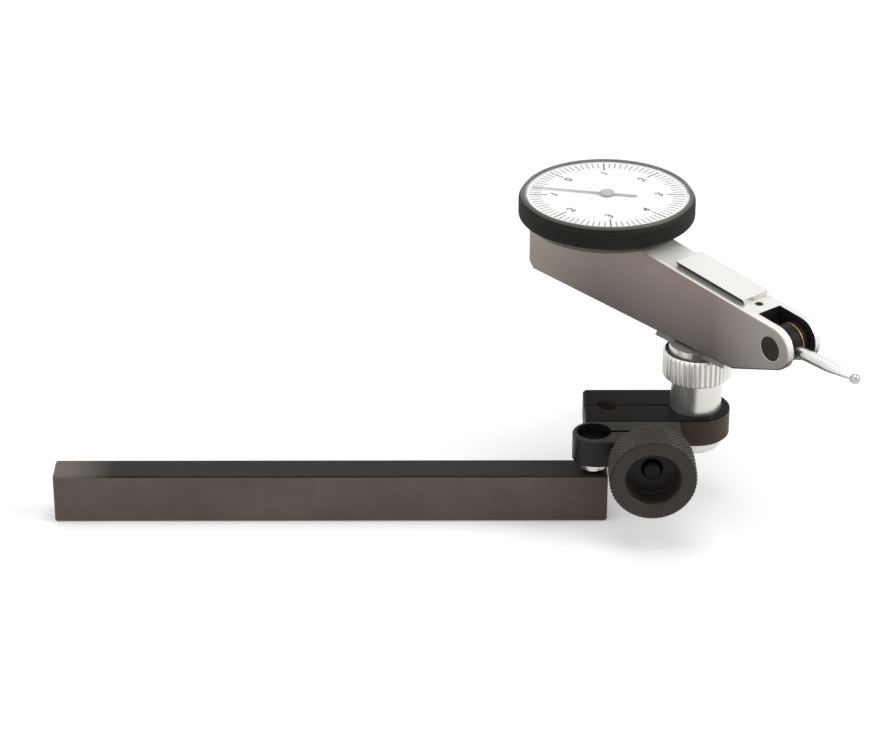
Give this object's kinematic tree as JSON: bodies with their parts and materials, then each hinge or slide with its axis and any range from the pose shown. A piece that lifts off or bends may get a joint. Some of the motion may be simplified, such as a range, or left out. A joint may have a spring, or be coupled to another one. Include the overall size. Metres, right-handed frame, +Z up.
{
  "type": "lever dial test indicator on a swivel clamp and holding bar",
  "caption": "Lever-type dial test indicator with a knurled turning bezel, clamped by its dovetail in a knurled holder on a split swivel clamp at the end of a dark steel holding bar.",
  "frame": {"origin": "centre of the holding bar's bottom face", "axes": "+X along the bar towards the clamp, +Y from the clamp knob towards the rear jaw, +Z up from the bar to the indicator"},
  "size_m": [0.144, 0.069, 0.0521],
  "materials": {
    "oxide_steel": "dark brown-grey oxide finish, fine ground grain",
    "bright_steel": "bright satin steel",
    "blued_steel": "black oxide, satin",
    "black_steel": "black oxide, satin, knurled where gripped",
    "satin_chrome": "satin chrome, bead-blasted, with bright edges",
    "black_bezel": "black anodised ring, diamond-knurled rim",
    "dial_white": "white printed dial",
    "crystal_clear": "clear domed crystal",
    "bronze": "plain bronze",
    "hard_chrome": "polished hard ball",
    "brass": "plain brass",
    "ruby": "polished jewel",
    "pointer_grey": "dull grey hand",
    "spring_steel": "thin spring strip"
  },
  "bodies": {
    "bar": {"holding_bar": "oxide_steel", "bar_pin": "bright_steel"},
    "front_jaw": {"front_jaw": "blued_steel"},
    "rear_jaw": {"rear_jaw": "blued_steel", "clamp_bolt": "black_steel"},
    "clamp_knob": {"clamp_knob": "black_steel", "clamp_washer": "bright_steel"},
    "dovetail_stem": {"dovetail_stem": "bright_steel"},
    "stem_nut": {"stem_nut": "bright_steel"},
    "dovetail_jaw": {"dovetail_jaw": "bright_steel"},
    "indicator": {"indicator_body": "satin_chrome", "cup_screws": "bright_steel", "frame_screws": "bright_steel", "nose_screw": "black_steel", "pivot_bushes": "black_steel", "dial_cup": "satin_chrome", "movement_frame": "brass", "upper_bridge": "brass", "bridge_screws": "bright_steel", "jewels": "ruby", "arbor_bushes": "bronze", "hairspring": "spring_steel", "spring_stud": "brass"},
    "bezel": {"bezel": "black_bezel", "retaining_ring": "bright_steel", "dial_face": "dial_white", "crystal": "crystal_clear"},
    "contact_lever": {"contact_lever": "black_steel", "pivot_pin": "bright_steel", "friction_ring": "bronze"},
    "contact_point": {"contact_drum": "black_steel", "contact_point": "bright_steel", "contact_ball": "hard_chrome"},
    "crown_arbor": {"crown_arbor": "bright_steel", "crown_gear": "brass"},
    "pointer_arbor": {"pointer_arbor": "bright_steel", "pointer": "pointer_grey", "pointer_boss": "pointer_grey"}
  },
  "joints": [
    {"name": "front_jaw_swing", "type": "hinge", "parent": "bar", "child": "front_jaw", "pos_m": [0.0482, 0, 0.01162], "axis": [0, 0, 1], "range_deg": [-90, 90]},
    {"name": "rear_jaw_tilt", "type": "hinge", "parent": "front_jaw", "child": "rear_jaw", "pos_m": [0.0583, 0, 0.01435], "axis": [0, 1, 0], "range_deg": [-8, 80]},
    {"name": "knob_turn", "type": "hinge", "parent": "rear_jaw", "child": "clamp_knob", "pos_m": [0.0583, 0, 0.01435], "axis": [0, 1, 0], "continuous": true},
    {"name": "holder_turn", "type": "hinge", "parent": "rear_jaw", "child": "dovetail_stem", "pos_m": [0.0675, 0.01035, 0.01162], "axis": [0, 0, 1], "continuous": true},
    {"name": "nut_turn", "type": "hinge", "parent": "dovetail_stem", "child": "stem_nut", "pos_m": [0.0675, 0.01035, 0.02888], "axis": [0, 0, 1], "range_deg": [0, 270]},
    {"name": "dovetail_jaw_open", "type": "slide", "parent": "dovetail_stem", "child": "dovetail_jaw", "axis": [-0.7749, -0.632, 0], "range_m": [0, 0.0004]},
    {"name": "indicator_slide", "type": "slide", "parent": "dovetail_stem", "child": "indicator", "axis": [0.632, -0.7749, 0], "range_m": [-0.005, 0.005]},
    {"name": "bezel_turn", "type": "hinge", "parent": "indicator", "child": "bezel", "pos_m": [0.05135, 0.0315, 0.04618], "axis": [0, 0, 1], "continuous": true},
    {"name": "lever_tilt", "type": "hinge", "parent": "indicator", "child": "contact_lever", "pos_m": [0.08172, -0.00574, 0.03807], "axis": [0.7749, 0.632, 0], "range_deg": [-1.4, 1.4], "stiffness_Nm_per_rad": 0.11},
    {"name": "crown_spin", "type": "hinge", "parent": "indicator", "child": "crown_arbor", "pos_m": [0.06089, 0.0198, 0.03807], "axis": [0.632, -0.7749, 0], "range_deg": [-46.33, 46.33]},
    {"name": "pointer_spin", "type": "hinge", "parent": "indicator", "child": "pointer_arbor", "pos_m": [0.05135, 0.0315, 0.04038], "axis": [0, 0, 1], "range_deg": [-194.55, 194.55]},
    {"name": "contact_swivel", "type": "hinge", "parent": "contact_lever", "child": "contact_point", "pos_m": [0.08172, -0.00574, 0.03807], "axis": [0.7749, 0.632, 0], "range_deg": [-90, 90]}
  ],
  "couplings": [
    {"joint": "dovetail_jaw_open", "follows": "nut_turn", "m_per_rad": 0.000084883},
    {"joint": "crown_spin", "follows": "lever_tilt", "ratio": 33.083},
    {"joint": "pointer_spin", "follows": "lever_tilt", "ratio": -138.95}
  ]
}
